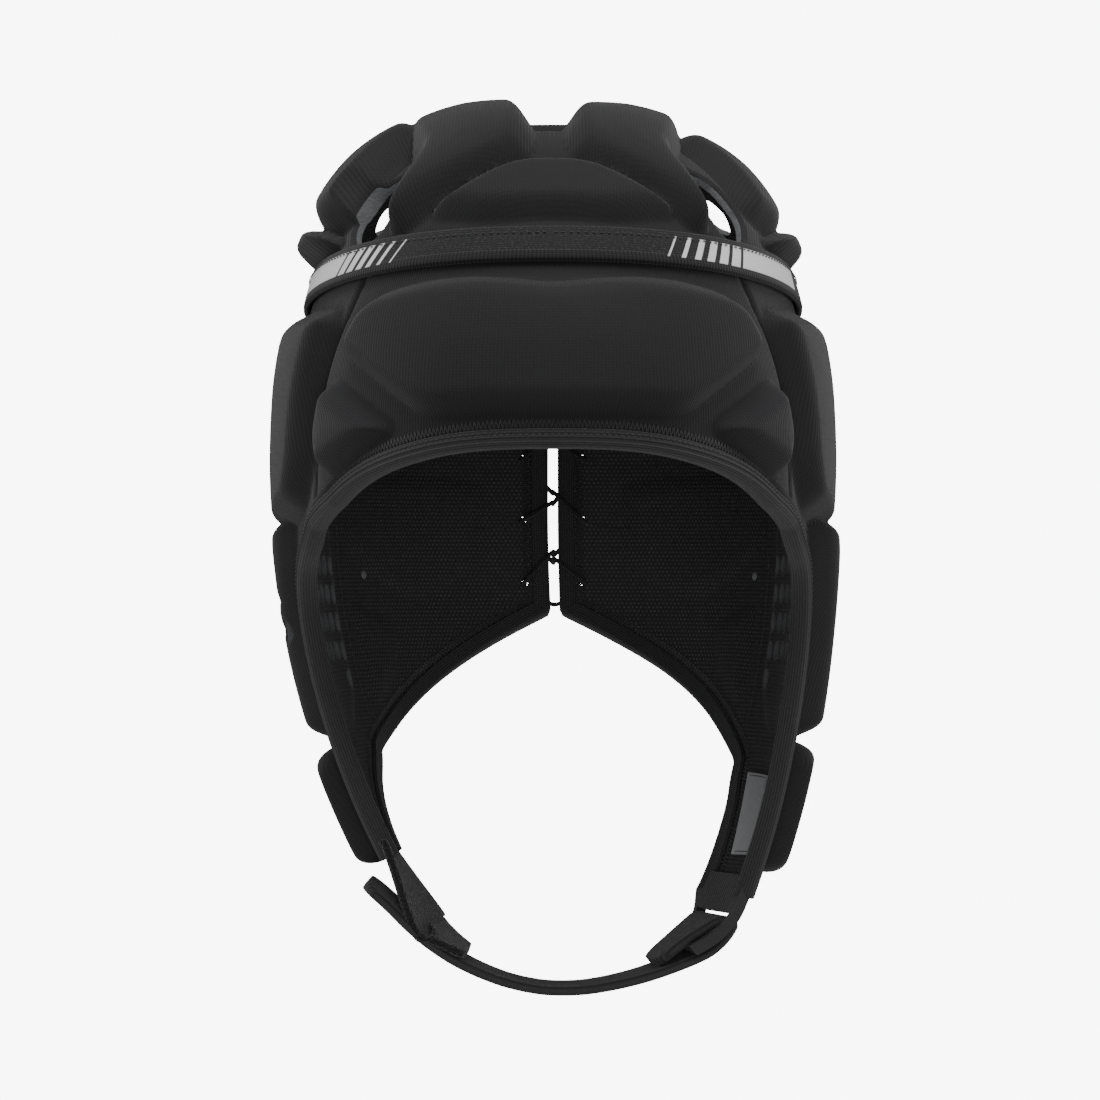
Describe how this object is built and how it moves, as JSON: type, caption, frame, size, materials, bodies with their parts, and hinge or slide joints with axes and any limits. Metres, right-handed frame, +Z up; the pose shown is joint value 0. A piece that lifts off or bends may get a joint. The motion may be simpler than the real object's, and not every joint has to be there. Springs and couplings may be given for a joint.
{
  "type": "rugby scrum cap",
  "caption": "Soft padded head guard with vented crown pads, open ear holes, an elastic head band, a laced back split and a chin strap fastened under the jaw.",
  "frame": {"origin": "inside the crown, where the top of the wearer's head touches the lining", "axes": "+Z up, the face opening looks towards -Y, +X is the wearer's left"},
  "size_m": [0.1795, 0.2157, 0.2824],
  "materials": {
    "knit": "matt ribbed knit over moulded foam",
    "band": "heathered elastic tape",
    "tape": "ribbed binding tape",
    "lace": "round braided cord",
    "strap": "brushed webbing",
    "pile": "matt looped pile",
    "label": "smooth bare cloth"
  },
  "bodies": {
    "root": {"crown_panel": "knit", "forehead_panel": "knit", "side_panel_left": "knit", "side_panel_right": "knit", "back_panel_left": "knit", "back_panel_right": "knit", "jaw_pad_left": "knit", "jaw_pad_right": "knit", "head_band": "band", "face_binding": "tape", "nape_binding_left": "tape", "nape_binding_right": "tape", "back_lace": "lace", "strap_anchor": "strap", "chin_strap": "strap", "pile_tongue": "pile", "label_patch": "label"}
  },
  "joints": []
}
